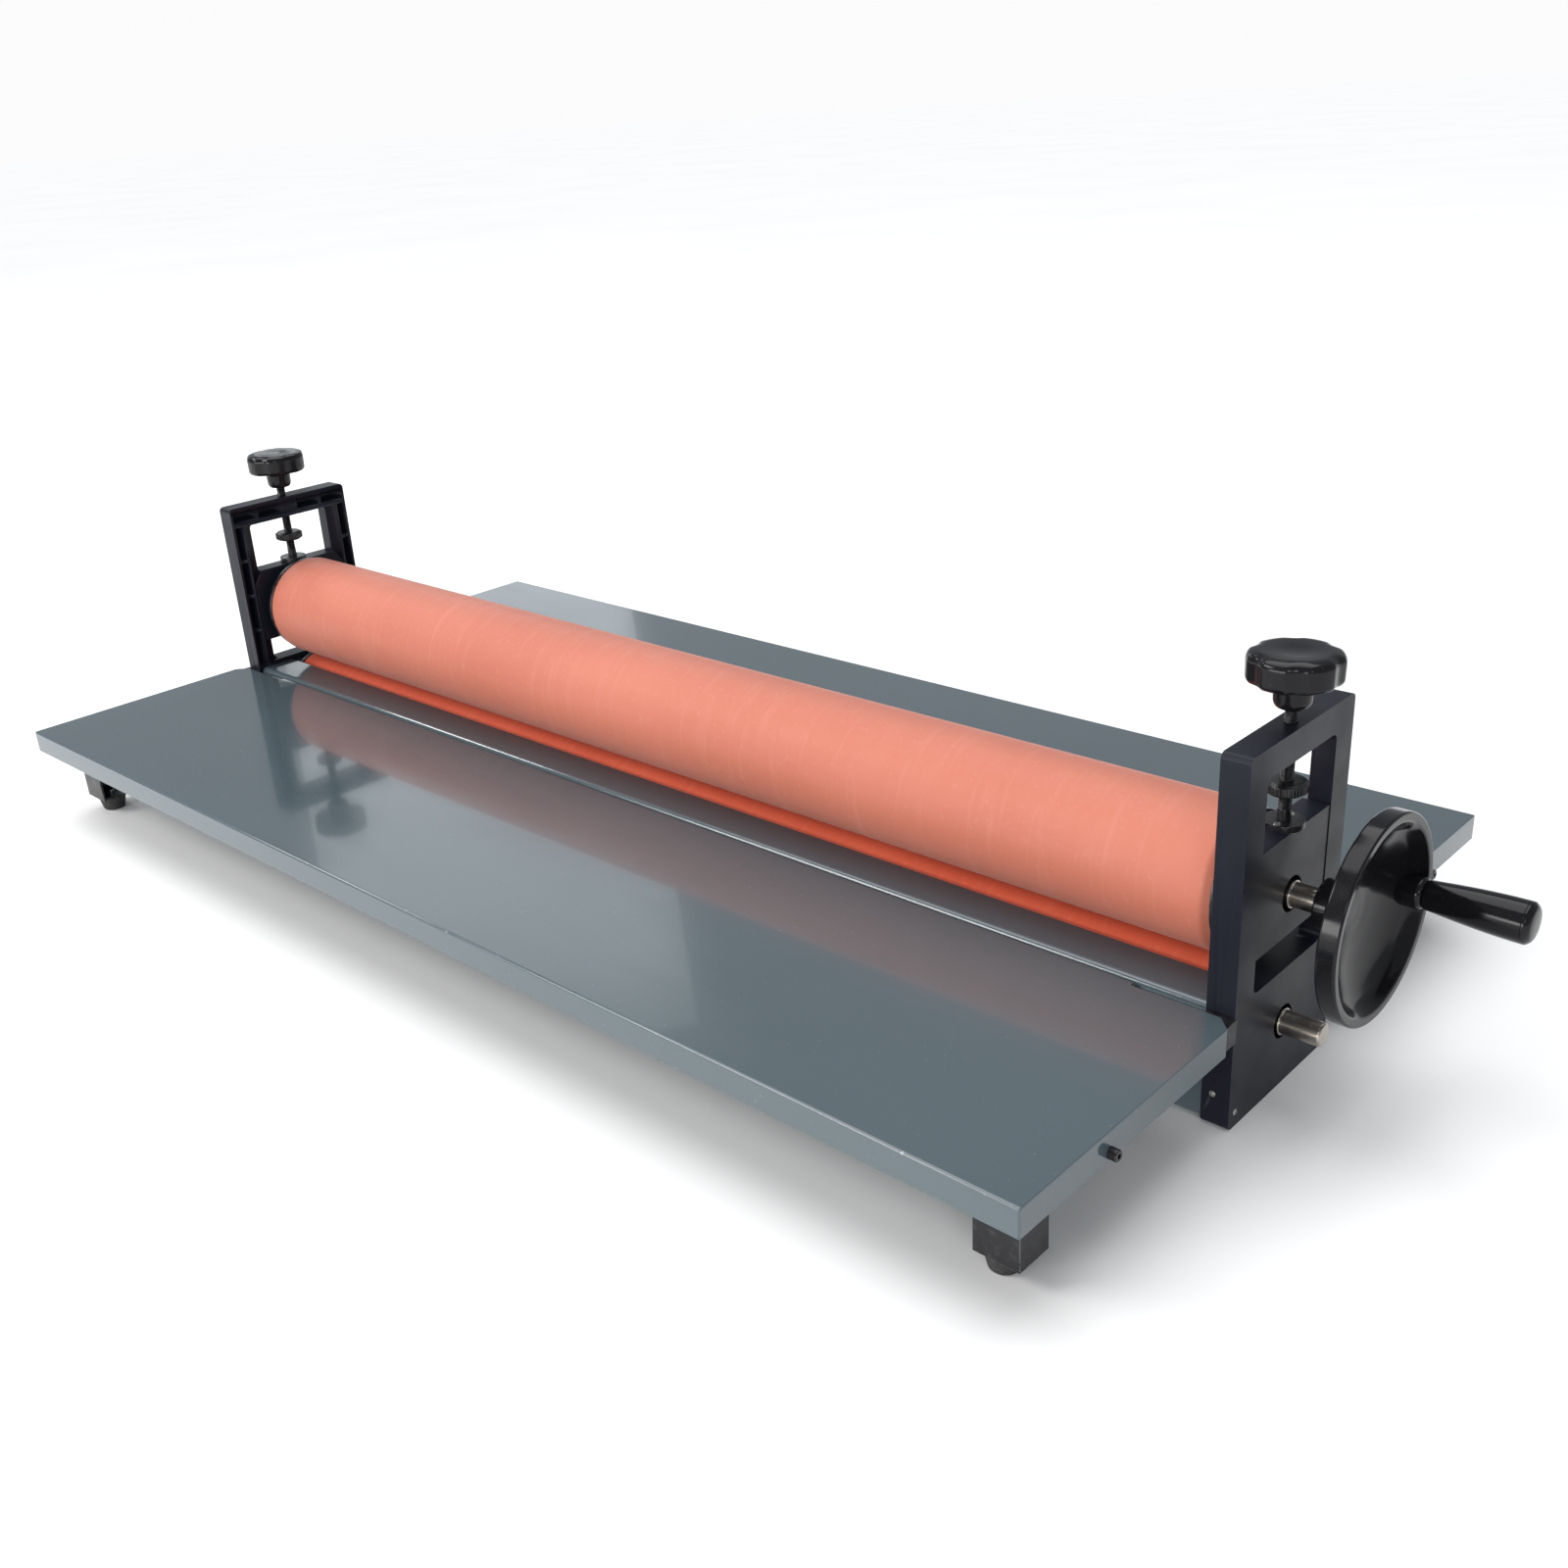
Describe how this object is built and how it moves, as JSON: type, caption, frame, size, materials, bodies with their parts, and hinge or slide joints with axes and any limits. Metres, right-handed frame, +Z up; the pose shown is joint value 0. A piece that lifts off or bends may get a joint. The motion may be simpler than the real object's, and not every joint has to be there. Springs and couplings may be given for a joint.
{
  "type": "cold roll laminator",
  "caption": "Bench-top manual cold laminator: rubber rollers in two side frames, pressure screws with star knobs, feed tables and a crank handwheel.",
  "frame": {"origin": "on the floor, under the middle of the rollers", "axes": "+X along the rollers towards the handwheel, +Y towards the rear table, +Z up"},
  "size_m": [1.19, 0.549, 0.2762],
  "materials": {
    "frame_paint": "satin blue-black casting paint",
    "table_paint": "gloss dark blue-grey sheet paint",
    "black_steel": "blackened steel",
    "foot_rubber": "matte black rubber",
    "phenolic": "gloss black phenolic moulding",
    "upper_rubber": "matte salmon-orange silicone rubber",
    "lower_rubber": "matte orange-red silicone rubber",
    "bearing_steel": "polished bearing steel",
    "zinc_steel": "zinc-plated steel",
    "ground_steel": "turned and ground steel"
  },
  "bodies": {
    "stand": {"side_frame_left": "frame_paint", "side_frame_right": "frame_paint", "base_channel": "table_paint", "front_table": "table_paint", "rear_table": "table_paint", "table_arm_front_left": "black_steel", "table_arm_front_right": "black_steel", "table_arm_rear_left": "black_steel", "table_arm_rear_right": "black_steel", "foot_bracket_front_left": "black_steel", "foot_bracket_front_right": "black_steel", "foot_bracket_rear_left": "black_steel", "foot_bracket_rear_right": "black_steel", "rubber_foot_front_left": "foot_rubber", "rubber_foot_front_right": "foot_rubber", "rubber_foot_rear_left": "foot_rubber", "rubber_foot_rear_right": "foot_rubber", "table_side_screws": "black_steel", "arm_screws": "zinc_steel", "base_screws": "zinc_steel", "frame_set_screws": "zinc_steel", "foot_screws": "zinc_steel", "lower_bearing_outer_left": "bearing_steel", "lower_bearing_outer_right": "bearing_steel", "lower_bearing_balls": "bearing_steel"},
    "carriage": {"bearing_block_left": "frame_paint", "bearing_block_right": "frame_paint", "upper_bearing_outer_left": "bearing_steel", "upper_bearing_outer_right": "bearing_steel", "upper_bearing_balls": "bearing_steel", "thrust_collar_left": "black_steel", "thrust_collar_right": "black_steel", "collar_screws": "zinc_steel"},
    "upper_roller": {"upper_roller_tube": "ground_steel", "upper_roller_sleeve": "upper_rubber", "upper_end_disc_left": "black_steel", "upper_end_disc_right": "black_steel", "upper_shaft": "ground_steel", "upper_bearing_inner_left": "bearing_steel", "upper_bearing_inner_right": "bearing_steel", "handwheel": "phenolic", "wheel_set_screw": "black_steel", "crank_spindle": "ground_steel"},
    "grip": {"crank_grip": "phenolic", "grip_end_cap": "phenolic"},
    "lower_roller": {"lower_roller_tube": "ground_steel", "lower_roller_sleeve": "lower_rubber", "lower_end_disc_left": "black_steel", "lower_end_disc_right": "black_steel", "lower_shaft": "ground_steel", "lower_bearing_inner_left": "bearing_steel", "lower_bearing_inner_right": "bearing_steel"},
    "left_screw": {"pressure_screw_left": "black_steel", "star_knob_left": "phenolic"},
    "right_screw": {"pressure_screw_right": "black_steel", "star_knob_right": "phenolic"},
    "left_lock_nut": {"lock_nut_left": "black_steel"},
    "right_lock_nut": {"lock_nut_right": "black_steel"}
  },
  "joints": [
    {"name": "carriage_lift", "type": "slide", "parent": "stand", "child": "carriage", "axis": [0, 0, 1], "range_m": [0, 0.0125]},
    {"name": "left_screw_turn", "type": "hinge", "parent": "carriage", "child": "left_screw", "pos_m": [-0.518, 0, 0.2], "axis": [0, 0, 1], "range_deg": [0, 3600]},
    {"name": "right_screw_turn", "type": "hinge", "parent": "carriage", "child": "right_screw", "pos_m": [0.518, 0, 0.2], "axis": [0, 0, 1], "range_deg": [0, 3600]},
    {"name": "left_nut_slide", "type": "slide", "parent": "left_screw", "child": "left_lock_nut", "axis": [0, 0, 1], "range_m": [-0.016, 0]},
    {"name": "right_nut_slide", "type": "slide", "parent": "right_screw", "child": "right_lock_nut", "axis": [0, 0, 1], "range_m": [-0.016, 0]},
    {"name": "upper_roller_spin", "type": "hinge", "parent": "carriage", "child": "upper_roller", "pos_m": [0, 0, 0.1301], "axis": [1, 0, 0], "continuous": true},
    {"name": "lower_roller_spin", "type": "hinge", "parent": "stand", "child": "lower_roller", "pos_m": [0, 0, 0.045], "axis": [1, 0, 0], "continuous": true},
    {"name": "crank_grip_spin", "type": "hinge", "parent": "upper_roller", "child": "grip", "pos_m": [0.585, 0.04988, 0.12661], "axis": [1, 0, 0], "continuous": true}
  ],
  "couplings": [
    {"joint": "left_screw_turn", "follows": "carriage_lift", "rad_per_m": 5026.5},
    {"joint": "right_screw_turn", "follows": "carriage_lift", "rad_per_m": 5026.5},
    {"joint": "lower_roller_spin", "follows": "upper_roller_spin", "ratio": -1.1744}
  ]
}
